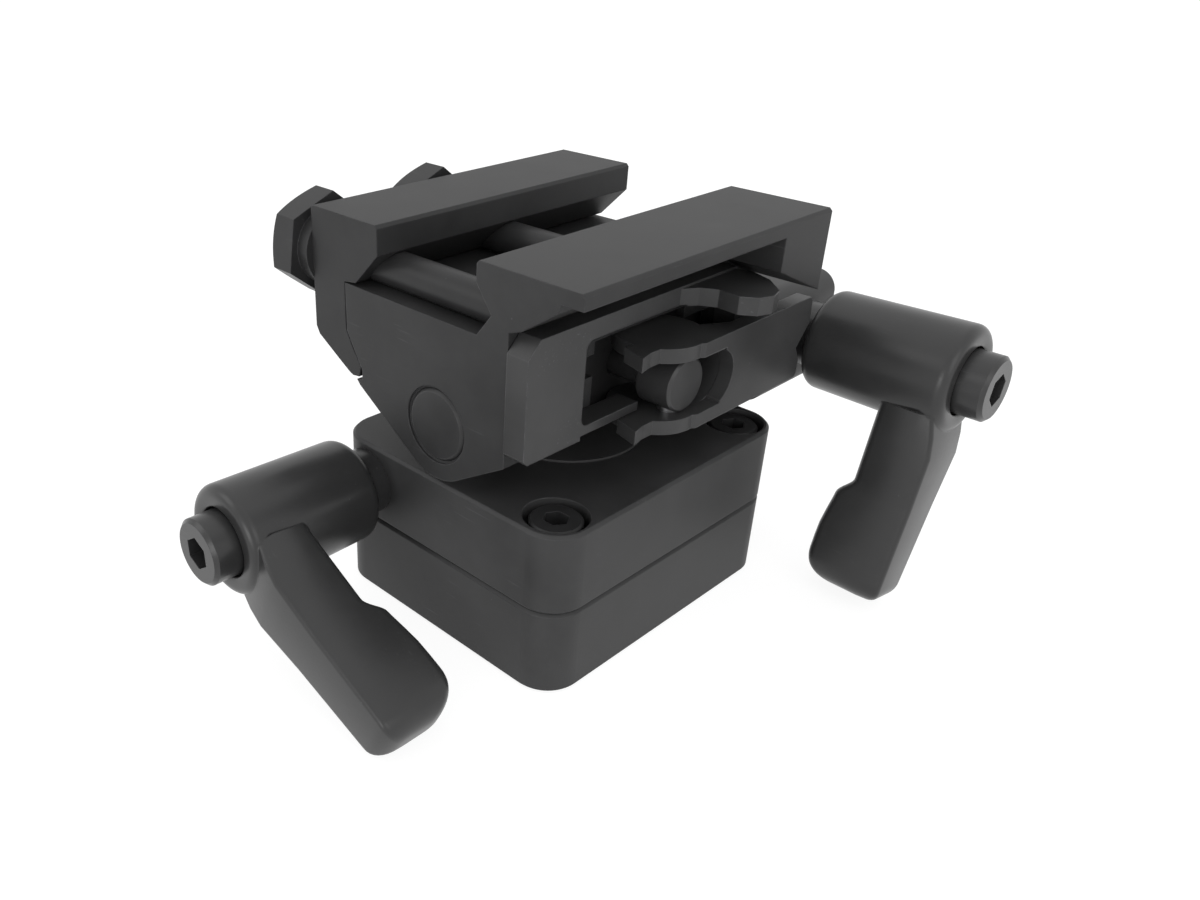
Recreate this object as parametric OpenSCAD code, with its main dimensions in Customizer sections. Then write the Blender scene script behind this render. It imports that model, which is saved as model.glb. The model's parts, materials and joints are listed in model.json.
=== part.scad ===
// Gimbal tripod head: a two-layer base that pans on a tripod, and a quick-release rail clamp that cants on a pin.
// Origin: centre of the base's underside. +Z up, +Y along the rail, +X to the quick-release lever.

/* [Base] */
// Width of the base, across the rail
base_w = 42; // [41:0.1:44]
// Length of the base, along the rail
base_d = 49.3; // [48:0.1:50]
// Height of the lower plate
plate_h = 12.4; // [11.5:0.1:14]
// Height of the upper housing
housing_h = 11.6; // [11.2:0.1:13]
// Radius of the base's upright corners
base_corner_r = 5.2; // [3:0.1:6]
// Broken edge round the base's layers
base_edge = 0.4; // [0.2:0.05:0.8]
// Radius of the counterbores for the housing screws
counterbore_r = 4.3; // [4:0.05:4.6]
// Radius of the wall of the 3/8-16 tripod thread
tripod_thread_r = 4; // [3.9:0.05:4.2]
// Depth of the tripod thread
tripod_thread_depth = 9.6; // [8:0.1:10]

/* [Turret] */
// Radius of the drum that turns inside the housing
drum_r = 15.5; // [14.5:0.1:16]
// Radius of the turret's neck, where it leaves the housing
neck_r = 11.5; // [11:0.1:13]
// Radius of the cant pin
pin_r = 4.9; // [4.6:0.05:5.1]
// Height of the cant pin above the base
pin_up = 8.4; // [8.2:0.1:9]
// Radius of the turret's knuckles round the pin
knuckle_r = 6.9; // [6.7:0.05:7]
// Length of the lock block behind the clamp
lock_len = 17; // [16:0.1:19]
// Reach of the lock block towards the cant lever
lock_reach = 16.4; // [15:0.1:17]

/* [Rail clamp] */
// Length of the clamp along the rail
clamp_len = 49.8; // [49:0.1:50.4]
// Width of the rail between the points of its bevels
rail_w = 21.2; // [21:0.05:21.5]
// Offset of the rail's centre from the base's centre
rail_x = -1.4; // [-1.8:0.1:-1]
// Height of the channel floor above the base
floor_up = 22.8; // [22.6:0.05:23.2]
// Height of the jaws above the channel floor
jaw_h = 9; // [8.8:0.1:10]
// Width of the fixed jaw's top
jaw_w = 15.8; // [15:0.1:17]
// Width of the clamp bar's top
bar_w = 13.45; // [12.8:0.05:14]
// Slope of the clamp's underside, which clears the base when it cants
cant_slope = 32; // [29:1:34]
// Across-flats size of the hex nuts
nut_af = 12.7; // [12:0.1:13.4]
// Radius of the cross bolts
bolt_r = 2.45; // [2.2:0.05:2.5]

/* [Quick release] */
// Thickness of the latch plate
latch_t = 3.3; // [2.8:0.1:3.4]
// Thickness of the lever's long arm
qd_arm_t = 2.2; // [1.8:0.1:2.6]
// Distance from the draw rod to the far end of the lever's arm
qd_reach = 26.4; // [24:0.1:26.8]
// Radius of the draw rod's head
rod_head_r = 3.7; // [3.4:0.05:3.75]

/* [Clamping levers] */
// Radius of a handle's hub at its outer end
hub_r = 7.7; // [7.4:0.05:7.8]
// Length of a handle's hub
hub_len = 20; // [18:0.1:22]
// Reach of a handle's arm from its hub's centre
arm_reach = 33; // [30:0.5:33]
// Depth of a handle's grip, along the hub
grip_depth = 11.7; // [11:0.1:13]
// Depth of a handle's neck, along the hub
neck_depth = 8.9; // [8.4:0.1:9.8]
// Angle of the pan lever's arm below level
pan_arm_angle = 26; // [10:1:27]
// Angle of the cant lever's arm off straight down
cant_arm_angle = 13; // [8:1:30]

/* [Hidden] */
$fn = 64;
overrun = 0.5;
run_gap = 0.05;
shaft_gap = 0.1;
flat_gap = 0.15;
side_gap = 0.3;

// Base: two layers, three screws from above, a threaded bush below
base_h = plate_h + housing_h;
screw_inset_x = 5;
screw_inset_y = 5.25;
screw_r = 2;
screw_head_r = 3.5;
screw_head_h = 4;
screw_head_edge = 0.3;
screw_socket_r = 1.75;
screw_socket_depth = 2;
screw_sink = 0.4;
screw_grip = 7;
screw_x = base_w / 2 - screw_inset_x;
screw_y = base_d / 2 - screw_inset_y;
screw_spots = [[screw_x, -screw_y], [screw_x, screw_y], [-screw_x, screw_y]];
screw_seat_z = base_h - screw_sink - screw_head_h;
screw_tip_z = plate_h - screw_grip;
bush_r = 6.5;
bush_flange_r = 8;
bush_flange_h = 1.5;
bush_crown = 0.9;
bush_h = tripod_thread_depth + bush_crown;
thrust_ring_r = 14;
thrust_ring_hole_r = 9;
thrust_ring_t = 0.5;
roof_t = 3;
drum_z = plate_h + thrust_ring_t + run_gap;
drum_top = base_h - roof_t - flat_gap;

// Turret: the drum and neck, two knuckles on the pin, the lock block behind the clamp
pin_z = base_h + pin_up;
web_half_w = 4;
deck_gap = 0.3;
deck_z = base_h + deck_gap;
knuckle_gap = 0.3;
slot_gap = 0.5;
slot_r = knuckle_r + slot_gap;
front_knuckle_y = -11;
front_knuckle_len = 7.2;
rear_knuckle_y = 3.8;
rear_slot_y = rear_knuckle_y - knuckle_gap;
clamp_shift = 0.2;
clamp_front = -clamp_len / 2 - clamp_shift;
clamp_back = clamp_front + clamp_len;
lock_gap = 0.8;
lock_start = clamp_back + lock_gap;
lock_end = lock_start + lock_len;
lock_left = -8;
lock_rise = 0.7;
lock_h = 16.7;
lock_corner_r = 3;
lock_bottom = base_h + lock_rise;
lock_top = lock_bottom + lock_h;
cant_stud_y = lock_start + lock_len / 2;
cant_stud_over = 2;
cant_stud_z = pin_z + cant_stud_over;

// Rail clamp: the channel, the fixed jaw and the bar, all set out from the rail
floor_z = base_h + floor_up;
jaw_top = floor_z + jaw_h;
rail_rise = 3;
rail_right = rail_x + rail_w / 2;
rail_left = rail_x - rail_w / 2;
jaw_bite = 2.5;
jaw_lip_up = 6.3;
jaw_foot_in = 2.3;
jaw_edge = 0.4;
jaw_lip_x = rail_right - jaw_bite;
flange_x = jaw_lip_x + jaw_w;
flange_t = 1.9;
flange_over = 3.2;
flange_z = jaw_top - flange_t;
flange_root = 0.5;
gusset_lip = 1.3;
gusset_lip_in = 0.5;
gusset_foot_out = 1.9;
gusset_foot_up = 2.4;
jaw_wall = 2.8;
wall_x = rail_right + jaw_wall;
wall_head_up = 1.7;
bar_bite = 1.1;
bar_lip_x = rail_left + bar_bite;
bar_lip_up = 5.1;
bar_out = bar_lip_x - bar_w;
bar_leg = 6.75;
seam_x = bar_out + bar_leg;
hook_out = 3.1;
hook_x = seam_x + hook_out;

// Corners of the seam between the body and the bar, each as distance out and drop from the channel floor
seam_top_out = 0.1;
seam_top_drop = 6.7;
seam_mid_out = 1.15;
seam_mid_drop = 8.5;
hook_drop = 11.5;
ledge_dip = 12.95;
ledge_drop = 13.2;
ledge_w = 1.2;
heel_in = 0.55;

// Corners of the bar's outer side and toe
bar_edge = 0.4;
bar_side_drop = 7.9;
bar_knee_in = 0.65;
bar_knee_drop = 9;
bar_shin_in = 5.05;
bar_shin_drop = 11.5;
bar_ball_in = 7.15;
bar_ball_drop = 12.65;
bar_toe_in = 7.85;
bar_toe_drop = 12.9;
bar_tip_out = 0.7;
bar_tip_drop = 12.7;
bar_hook_gap = 0.35;
bar_hook_drop = 11.2;
seam_gap = 0.25;
bar_slant = 4.1;
bar_foot_up = 0.9;
bar_foot_edge = 0.4;

// The clamp's underside: an arc round the pin between two slopes
under_gap = 0.85;
under_r = pin_up - under_gap;
under_x = under_r * sin(cant_slope);
function under_z(x) = pin_z - under_r * cos(cant_slope) + (abs(x) - under_x) * tan(cant_slope);

// The far end block, and the pocket in front of it under the jaw's flange
end_block_len = 10.7;
end_block_y = clamp_back - end_block_len;
end_block_near_up = 2.6;
end_block_far_down = 2.2;
pocket_len = 23;
pocket_corner_r = 2.5;
pocket_foot_up = 1.5;
pocket_z = floor_z + pocket_foot_up;

// Cross bolts and nuts
bolt_up = 2.3;
bolt_z = floor_z + bolt_up;
bolt_inset = 4.3;
bolt_pitch = 20.5;
bolt_spots = [clamp_front + bolt_inset, clamp_front + bolt_inset + bolt_pitch];
bolt_end_wall = 0.5;
bolt_stop_x = wall_x - bolt_end_wall;
bolt_tail = 0.6;
nut_boss_r = 5.4;
nut_boss_len = 2;
nut_h = 4.4;
nut_turn = -8;
nut_edge = 1.2;
nut_slope = 30;
nut_x = bar_out - nut_boss_len - nut_h;

// Draw rod, its spring and the cam pocket
rod_drop = 9.8;
rod_z = floor_z - rod_drop;
rod_r = 2.1;
rod_head_len = 5.4;
rod_head_out = 7.7;
rod_head_edge = 0.3;
rod_head_x = wall_x + rod_head_out;
rod_boss_r = 3;
rod_boss_in = 2.75;
rod_boss_x = bar_out + rod_boss_in;
rod_boss_wall = 0.8;
rod_tip_x = rod_boss_x + rod_boss_wall + shaft_gap;
bar_spring_bore_r = 3.4;
bar_spring_len = 7.1;
bar_spring_r = 2.75;
bar_spring_wire = 0.3;
bar_spring_turns = 6;
cam_pocket_deep = 3.45;
cam_pocket_half = 9.4;
pin_notch_drop = 2.4;
pin_notch_half = 2.4;

// Quick-release lever: two tines round the rod's head, cam lobes and a long arm
pivot_out = 5.4;
pivot_x = wall_x + pivot_out;
pivot_r = 1.5;
pivot_cap = 0.8;
tine_in = 3.95;
tine_t = 1.95;
tine_out = tine_in + tine_t;
cam_pocket_h = tine_out + side_gap;
cam_r = 6;
cam_throw = 2.55;
heel_back = 2.2;
heel_y = 7.6;
tail_out = 1.5;
tail_y = 8.7;
tail_neck_out = 1.1;
tail_neck_y = 6.7;
ramp_y = 2.6;
qd_arm_out = 3.8;
qd_arm_near = 1;
qd_arm_x = pivot_x + qd_arm_out - qd_arm_t;
tine_back_y = 9.5;
waist_back = 1.2;
waist_y = 4.5;
crotch_y = 8.2;
arm_start_y = 6;
arm_edge = 0.5;
arm_vee_deep = 2.4;
arm_vee_drop = 1.2;
arm_vee_low = 3.2;
arm_vee_high = 1.3;
arm_tab_short = 1.2;

// Latch plate, with its tee studs and thumb tongue
latch_proud = 0.3;
latch_x = wall_x + flat_gap;
latch_front = clamp_front - latch_proud;
latch_back = clamp_back - latch_proud;
latch_drop = 14.1;
latch_low = floor_z - latch_drop;
latch_step = 0.6;
latch_edge = 0.7;
latch_top = pocket_z;
latch_far_up = 10.6;
latch_slope_in = 9.5;
latch_slope_y = clamp_back - latch_slope_in;
latch_slope_drop = 0.2;
latch_near_cut = 2.1;
window_near_in = 9.9;
window_near_y = clamp_front + window_near_in;
latch_step_y = window_near_y;
window_far_in = 8.2;
window_far_y = clamp_back - window_far_in;
window_rail = 1.8;
window_head = 2.5;
window_low = latch_low + window_rail;
window_top = latch_top - window_head;
window_r = 1.2;
latch_travel = 2;
stud_rise = 3;
stud_z = rod_z + stud_rise;
stud_neck_h = 2.8;
stud_head_h = 5.8;
stud_neck_x = 10.7;
stud_head_x = 9.1;
near_stud_in = 5.6;
near_stud_y = clamp_front + near_stud_in;
near_stud_len = 3.5;
far_stud_in = 6.7;
far_stud_y = clamp_back - far_stud_in;
far_stud_len = 4;
slot_wall = 1.5;
slot_neck_x = stud_neck_x + shaft_gap;
slot_head_x = stud_head_x - shaft_gap - shaft_gap;
tongue_t = 2.4;
tongue_z = latch_top - side_gap - tongue_t;
tongue_y = 2.8;
tongue_root_len = 10.9;
tongue_len = 12.9;
tongue_reach = 9.2;
tongue_rim_shares = [[0.136, 0.171], [0.364, 0.264], [0.701, 0.24], [0.918, 0.349], [1, 0.512], [0.94, 0.674],
    [0.603, 0.891], [0.212, 1]];
latch_spring_r = 0.65;
latch_spring_wire = 0.2;
latch_spring_turns = 4;

// Cant pin and its clip
pin_edge = 0.4;
pin_ring_w = 0.35;
pin_ring_deep = 0.4;
groove_gap = 0.2;
groove_y = lock_end + groove_gap;
groove_len = 1.1;
groove_r = 4.25;
pin_tail = 1.8;
pin_end = lock_end + pin_tail;
clip_t = 0.9;
clip_r = 6.8;
clip_mouth = 5;

// Clamping levers: 0 is the hub's outer end, the part lies beyond the inner end
pan_standoff = 3.35;
cant_standoff = 3.9;
pan_lever_x = -14.4;
pan_lever_z = 18.2;
pan_face_y = -base_d / 2;
stud_r = 3;
stud_len = 6;
shoe_r = 2.95;
shoe_gap = 0.5;
pan_shoe_end_y = -5;
pan_bore_end_y = -3;
cant_shoe_end_x = 2.5;
cant_bore_end_x = 2;
hub_inner_r = 7.3;
hub_edge = 1.2;
hub_edge_steps = 4;
hub_bore_r = 4.95;
collar_r = 4.75;
collar_top = -12.9;
tooth_top = -9.9;
tooth_count = 12;
tooth_root_r = 3.9;
tooth_tip_r = 4.3;
tooth_w = 1;
tooth_gap = 0.1;
hub_bore_top = -12.7;
web_low = -9.5;
web_top = -7.5;
web_hole_r = 2.6;
head_bore_r = 4.85;
lever_screw_r = 2.45;
lever_screw_tip = -19;
lever_head_low = -1.5;
lever_head_top = 4.7;
lever_head_r = 4.6;
lever_head_edge = 0.5;
lever_socket_r = 2.3;
lever_socket_depth = 2.6;
lever_spring_r = 3.3;
lever_spring_wire = 0.35;
lever_spring_turns = 4;
arm_ball_r = 1.6;
arm_root_t = 4.5;
arm_root_half_w = 6.2;
arm_step_t = 18.6;
arm_step_half_w = 4.5;
arm_tip_half_w = 3.6;
arm_step_len = 3;
arm_rise = 1.6;
arm_fall = 0.05;
function arm_face(t) = arm_rise - arm_fall * t;
spring_rings = 12;
spring_sides = 6;

// Shared shapes
function arc(cx, cy, r, from, to, steps) = [for (i = [0:steps])
    let (a = from + (to - from) * i / steps) [cx + r * cos(a), cy + r * sin(a)]];

module rod_up(r, z, len, x, y) {
    translate([x, y, z])
        cylinder(r = r, h = len);
}

module rod_y(r, y, len, x, z) {
    translate([x, y, z])
        rotate([-90, 0, 0])
            cylinder(r = r, h = len);
}

module rod_x(r, x, len, y, z) {
    translate([x, y, z])
        rotate([0, 90, 0])
            cylinder(r = r, h = len);
}

module along_y(y, len) {
    translate([0, y + len, 0])
        rotate([90, 0, 0])
            linear_extrude(len)
                children();
}

module along_x(x, len) {
    translate([x, 0, 0])
        rotate([90, 0, 90])
            linear_extrude(len)
                children();
}

module box(x, y, z) {
    translate([x[0], y[0], z[0]])
        cube([x[1] - x[0], y[1] - y[0], z[1] - z[0]]);
}

module block_side(w, h, edge) {
    polygon([[edge - w / 2, 0], [w / 2 - edge, 0], [w / 2, edge], [w / 2, h - edge], [w / 2 - edge, h],
        [edge - w / 2, h], [-w / 2, h - edge], [-w / 2, edge]]);
}

module soft_block(w, d, h, r, edge) {
    along_y(r - d / 2, d - 2 * r)
        block_side(w, h, edge);
    along_x(r - w / 2, w - 2 * r)
        block_side(d, h, edge);
    for (x = [-1, 1], y = [-1, 1])
        translate([x * (w / 2 - r), y * (d / 2 - r), 0])
            rotate_extrude()
                polygon([[0, 0], [r - edge, 0], [r, edge], [r, h - edge], [r - edge, h], [0, h]]);
}

// A rounded bar along Y, seen end on as a rounded rectangle
module round_bar(x, z, y, len, r) {
    box([x[0] + r, x[1] - r], [y, y + len], z);
    box(x, [y, y + len], [z[0] + r, z[1] - r]);
    for (cx = [x[0] + r, x[1] - r], cz = [z[0] + r, z[1] - r])
        rod_y(r, y, len, cx, cz);
}

// A helix tube along Z from 0 to len
module coil(r, wire, len, turns) {
    rings = turns * spring_rings;
    step = 360 / spring_rings;
    side = 360 / spring_sides;
    points = [for (i = [0:rings], j = [0:spring_sides - 1])
        let (out = r + wire * cos(j * side))
        [out * cos(i * step), out * sin(i * step), wire + (len - 2 * wire) * i / rings + wire * sin(j * side)]];
    start = [[for (j = [0:spring_sides - 1]) j]];
    end = [[for (j = [spring_sides - 1:-1:0]) rings * spring_sides + j]];
    skin = [for (i = [0:rings - 1], j = [0:spring_sides - 1])
        let (k = (j + 1) % spring_sides, a = i * spring_sides, b = a + spring_sides)
        each [[a + j, b + j, b + k], [a + j, b + k, a + k]]];
    polyhedron(points = points, faces = concat(start, end, skin));
}

// A cap screw standing on its tip at 0, with a hexagonal socket
module cap_screw(r, shank, head_r, head_h, edge, socket_r, socket_depth) {
    difference() {
        rotate_extrude()
            polygon([[0, 0], [r, 0], [r, shank], [head_r, shank], [head_r, shank + head_h - edge],
                [head_r - edge, shank + head_h], [0, shank + head_h]]);
        translate([0, 0, shank + head_h - socket_depth])
            cylinder(r = socket_r, h = socket_depth + overrun, $fn = 6);
    }
}

// Base
module base_plate() {
    color("#3a3b3d")
        difference() {
            soft_block(base_w, base_d, plate_h, base_corner_r, base_edge);
            rod_up(bush_flange_r + shaft_gap, -overrun, bush_flange_h + overrun, 0, 0);
            rod_up(bush_r + run_gap, -overrun, bush_h + run_gap + overrun, 0, 0);
            for (p = screw_spots)
                rod_up(screw_r + run_gap, screw_tip_z - side_gap, screw_grip + side_gap + overrun, p[0], p[1]);
        }
}

module base_housing() {
    color("#3d3e40")
        difference() {
            translate([0, 0, plate_h])
                soft_block(base_w, base_d, housing_h, base_corner_r, base_edge);
            rod_up(drum_r + shaft_gap, plate_h - overrun, housing_h - roof_t + overrun, 0, 0);
            rod_up(neck_r + run_gap, plate_h, housing_h + overrun, 0, 0);
            for (p = screw_spots) {
                rod_up(screw_r + shaft_gap, plate_h - overrun, housing_h, p[0], p[1]);
                rod_up(counterbore_r, screw_seat_z, housing_h, p[0], p[1]);
            }
            rod_y(stud_r + run_gap, pan_face_y - overrun, pan_bore_end_y - pan_face_y + overrun, pan_lever_x,
                pan_lever_z);
        }
}

module housing_screws() {
    color("#2e2f31")
        for (p = screw_spots)
            translate([p[0], p[1], screw_tip_z])
                cap_screw(screw_r, screw_seat_z - screw_tip_z, screw_head_r, screw_head_h, screw_head_edge,
                    screw_socket_r, screw_socket_depth);
}

module tripod_bush() {
    color("#8c8f92")
        difference() {
            union() {
                rod_up(bush_flange_r, 0, bush_flange_h, 0, 0);
                rod_up(bush_r, 0, bush_h, 0, 0);
            }
            rod_up(tripod_thread_r, -overrun, tripod_thread_depth + overrun, 0, 0);
        }
}

module thrust_ring() {
    color("#d8d4c8")
        difference() {
            rod_up(thrust_ring_r, plate_h, thrust_ring_t, 0, 0);
            rod_up(thrust_ring_hole_r, plate_h - overrun, thrust_ring_t + 2 * overrun, 0, 0);
        }
}

// Turret
module turret() {
    color("#3a3b3d")
        difference() {
            union() {
                rod_up(drum_r, drum_z, drum_top - drum_z, 0, 0);
                rod_up(neck_r, drum_z, deck_z - drum_z, 0, 0);
                box([-web_half_w, web_half_w], [front_knuckle_y, front_knuckle_y + front_knuckle_len],
                    [deck_z, pin_z]);
                rod_y(knuckle_r, front_knuckle_y, front_knuckle_len, 0, pin_z);
                box([-web_half_w, web_half_w], [rear_knuckle_y, lock_start], [deck_z, pin_z]);
                rod_y(knuckle_r, rear_knuckle_y, lock_start - rear_knuckle_y, 0, pin_z);
                round_bar([lock_left, lock_reach], [lock_bottom, lock_top], lock_start, lock_len, lock_corner_r);
            }
            rod_y(pin_r + run_gap, front_knuckle_y - overrun, lock_end - front_knuckle_y + 2 * overrun, 0, pin_z);
            rod_x(stud_r + run_gap, cant_bore_end_x, lock_reach - cant_bore_end_x + overrun, cant_stud_y,
                cant_stud_z);
        }
}

module cant_pin() {
    color("#55585b")
        difference() {
            translate([0, clamp_front, pin_z])
                rotate([-90, 0, 0])
                    rotate_extrude()
                        polygon([[0, 0], [pin_r - pin_edge, 0], [pin_r, pin_edge],
                            [pin_r, groove_y - clamp_front], [groove_r, groove_y - clamp_front],
                            [groove_r, groove_y + groove_len - clamp_front],
                            [pin_r, groove_y + groove_len - clamp_front],
                            [pin_r, pin_end - clamp_front], [0, pin_end - clamp_front]]);
            box([-2 * pin_r, 2 * pin_r], [-pin_notch_half, pin_notch_half],
                [rod_z - pin_notch_drop, pin_z + 2 * pin_r]);
        }
}

module pin_clip() {
    color("#2a2b2d")
        difference() {
            rod_y(clip_r, groove_y, clip_t, 0, pin_z);
            rod_y(groove_r + run_gap, groove_y - overrun, clip_t + 2 * overrun, 0, pin_z);
            box([-clip_mouth / 2, clip_mouth / 2], [groove_y - overrun, groove_y + clip_t + overrun],
                [pin_z - 2 * clip_r, pin_z]);
        }
}

// Rail clamp
module body_profile() {
    polygon([
        [seam_x, floor_z], [rail_right - jaw_foot_in, floor_z], [rail_right, floor_z + rail_rise],
        [jaw_lip_x, floor_z + jaw_lip_up], [jaw_lip_x, jaw_top - jaw_edge], [jaw_lip_x + jaw_edge, jaw_top],
        [flange_x - jaw_edge, jaw_top], [flange_x, jaw_top - jaw_edge], [flange_x, flange_z],
        [flange_x - flange_over, flange_z],
        [flange_x - flange_over - gusset_lip_in, flange_z - gusset_lip],
        [wall_x + gusset_foot_out, floor_z + gusset_foot_up], [wall_x, floor_z + wall_head_up],
        [wall_x, under_z(wall_x)], [under_x, under_z(under_x)], [-under_x, under_z(under_x)],
        [hook_x - heel_in, under_z(hook_x - heel_in)], [hook_x - ledge_w, floor_z - ledge_drop],
        [hook_x, floor_z - ledge_dip], [hook_x, floor_z - hook_drop],
        [seam_x + seam_mid_out, floor_z - seam_mid_drop], [seam_x + seam_top_out, floor_z - seam_top_drop]]);
}

module turret_slot(y, len) {
    rod_y(slot_r, y, len, 0, pin_z);
    box([-slot_r, slot_r], [y, y + len], [base_h, pin_z]);
}

module under_flange() {
    x = [wall_x, flange_x + overrun];
    y = [end_block_y - pocket_len, end_block_y];
    box(x, [y[0], y[1] - pocket_corner_r], [pocket_z, flange_z]);
    box(x, y, [pocket_z, flange_z - pocket_corner_r]);
    rod_x(pocket_corner_r, x[0], x[1] - x[0], y[1] - pocket_corner_r, flange_z - pocket_corner_r);
}

module latch_slot(y, len) {
    box([slot_neck_x, wall_x + overrun], [y, y + len],
        [stud_z - stud_neck_h / 2 - shaft_gap, stud_z + stud_neck_h / 2 + shaft_gap]);
    box([slot_head_x, slot_neck_x], [y, y + len],
        [stud_z - stud_head_h / 2 - shaft_gap, stud_z + stud_head_h / 2 + shaft_gap]);
}

module clamp_body() {
    color("#3b3c3e")
        difference() {
            union() {
                along_y(clamp_front, clamp_len)
                    body_profile();
                rod_y(under_r, clamp_front, clamp_len, 0, pin_z);
                along_x(wall_x - flange_root, flange_x - wall_x + flange_root)
                    polygon([[end_block_y, flange_z + flange_root], [end_block_y, floor_z + end_block_near_up],
                        [clamp_back, floor_z - end_block_far_down], [clamp_back, flange_z + flange_root]]);
            }
            under_flange();
            turret_slot(front_knuckle_y - knuckle_gap, front_knuckle_len + 2 * knuckle_gap);
            turret_slot(rear_slot_y, clamp_back - rear_slot_y + overrun);
            box([wall_x - cam_pocket_deep, wall_x + overrun], [-cam_pocket_half, cam_pocket_half],
                [rod_z - cam_pocket_h, rod_z + cam_pocket_h]);
            latch_slot(clamp_front + slot_wall, -cam_pocket_half + overrun - clamp_front - slot_wall);
            latch_slot(cam_pocket_half - overrun, clamp_back - cam_pocket_half + 2 * overrun);
            for (y = bolt_spots)
                rod_x(bolt_r + run_gap, seam_x - overrun, bolt_stop_x - seam_x + overrun, y, bolt_z);
            rod_x(rod_r + run_gap, seam_x - overrun, wall_x - seam_x, 0, rod_z);
            rod_x(bar_spring_bore_r, seam_x - overrun, bar_spring_len + overrun, 0, rod_z);
            rod_y(pin_r + run_gap, clamp_front - overrun, rear_slot_y - clamp_front + 2 * overrun, 0, pin_z);
            rod_y(pin_r + pin_ring_w, clamp_front - overrun, pin_ring_deep + overrun, 0, pin_z);
        }
}

module bar_profile() {
    foot_x = bar_lip_x - bar_slant;
    polygon([
        [bar_out, jaw_top - bar_edge], [bar_out, floor_z - bar_side_drop],
        [bar_out + bar_knee_in, floor_z - bar_knee_drop], [bar_out + bar_shin_in, floor_z - bar_shin_drop],
        [bar_out + bar_ball_in, floor_z - bar_ball_drop], [bar_out + bar_toe_in, floor_z - bar_toe_drop],
        [hook_x - bar_tip_out, floor_z - bar_tip_drop], [hook_x - bar_hook_gap, floor_z - bar_hook_drop],
        [seam_x + seam_mid_out - seam_gap, floor_z - seam_mid_drop],
        [seam_x - flat_gap, floor_z - seam_top_drop], [seam_x - flat_gap, floor_z + flat_gap],
        [foot_x - bar_foot_edge, floor_z + bar_foot_up - bar_foot_edge], [foot_x, floor_z + bar_foot_up],
        [bar_lip_x, floor_z + bar_lip_up], [bar_lip_x, jaw_top - bar_edge], [bar_lip_x - bar_edge, jaw_top],
        [bar_out + bar_edge, jaw_top]]);
}

module clamp_bar() {
    color("#3b3c3e")
        difference() {
            union() {
                along_y(clamp_front, clamp_len)
                    bar_profile();
                rod_x(rod_boss_r, rod_boss_x, seam_x - rod_boss_x, 0, rod_z);
            }
            for (y = bolt_spots)
                rod_x(bolt_r + run_gap, bar_out - overrun, bar_w + 2 * overrun, y, bolt_z);
            rod_x(rod_r + run_gap, rod_boss_x + rod_boss_wall, seam_x - rod_boss_x, 0, rod_z);
            rod_x(bar_spring_bore_r, seam_x, bar_leg, 0, rod_z);
        }
}

module cross_bolts() {
    color("#4a4c4f")
        for (y = bolt_spots)
            rod_x(bolt_r, nut_x - bolt_tail, bolt_stop_x - side_gap - nut_x + bolt_tail, y, bolt_z);
}

module hex_nuts() {
    color("#3f4144")
        for (y = bolt_spots)
            translate([nut_x, y, bolt_z])
                rotate([nut_turn, 0, 0])
                    rotate([0, 90, 0])
                        difference() {
                            union() {
                                intersection() {
                                    cylinder(d = nut_af / cos(30), h = nut_h, $fn = 6);
                                    rotate_extrude()
                                        polygon([[0, 0], [nut_af / 2, 0],
                                            [nut_af / 2 + nut_edge, nut_edge * tan(nut_slope)],
                                            [nut_af / 2 + nut_edge, nut_h], [0, nut_h]]);
                                }
                                cylinder(r = nut_boss_r, h = nut_h + nut_boss_len);
                            }
                            translate([0, 0, -overrun])
                                cylinder(r = bolt_r + run_gap, h = nut_h + nut_boss_len + 2 * overrun);
                        }
}

module draw_rod() {
    color("#55585b")
        difference() {
            union() {
                rod_x(rod_r, rod_tip_x, rod_head_x - rod_tip_x - rod_head_edge, 0, rod_z);
                translate([rod_head_x - rod_head_len, 0, rod_z])
                    rotate([0, 90, 0])
                        rotate_extrude()
                            polygon([[0, 0], [rod_head_r - rod_head_edge, 0], [rod_head_r, rod_head_edge],
                                [rod_head_r, rod_head_len - rod_head_edge],
                                [rod_head_r - rod_head_edge, rod_head_len], [0, rod_head_len]]);
            }
            rod_up(pivot_r + run_gap, rod_z - 2 * rod_head_r, 4 * rod_head_r, pivot_x, 0);
        }
}

module bar_spring() {
    color("#b9bcc0")
        translate([seam_x + run_gap, 0, rod_z])
            rotate([0, 90, 0])
                coil(bar_spring_r, bar_spring_wire, bar_spring_len - 2 * run_gap, bar_spring_turns);
}

// Quick-release lever
module tine(z) {
    translate([0, 0, z])
        linear_extrude(tine_t)
            polygon([[pivot_x - heel_back, -heel_y], [pivot_x + tail_out, -tail_y],
                [pivot_x + tail_neck_out, -tail_neck_y], [pivot_x + tail_neck_out, -ramp_y],
                [pivot_x + qd_arm_out, qd_arm_near], [pivot_x + qd_arm_out, tine_back_y],
                [qd_arm_x, tine_back_y], [pivot_x - waist_back, waist_y]]);
    rod_up(cam_r, z, tine_t, pivot_x - cam_throw, 0);
}

module arm_outline() {
    low = rod_z - tine_out;
    high = rod_z + tine_out;
    vee_z = rod_z - arm_vee_drop;
    polygon([[arm_start_y, low], [qd_reach - arm_tab_short - arm_edge, low],
        [qd_reach - arm_tab_short, low + arm_edge], [qd_reach - arm_tab_short, vee_z - arm_vee_low + arm_vee_high],
        [qd_reach - arm_vee_deep, vee_z], [qd_reach + arm_edge / 2, vee_z + arm_vee_low],
        [qd_reach, high - arm_edge], [qd_reach - arm_edge, high], [arm_start_y, high]]);
}

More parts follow.
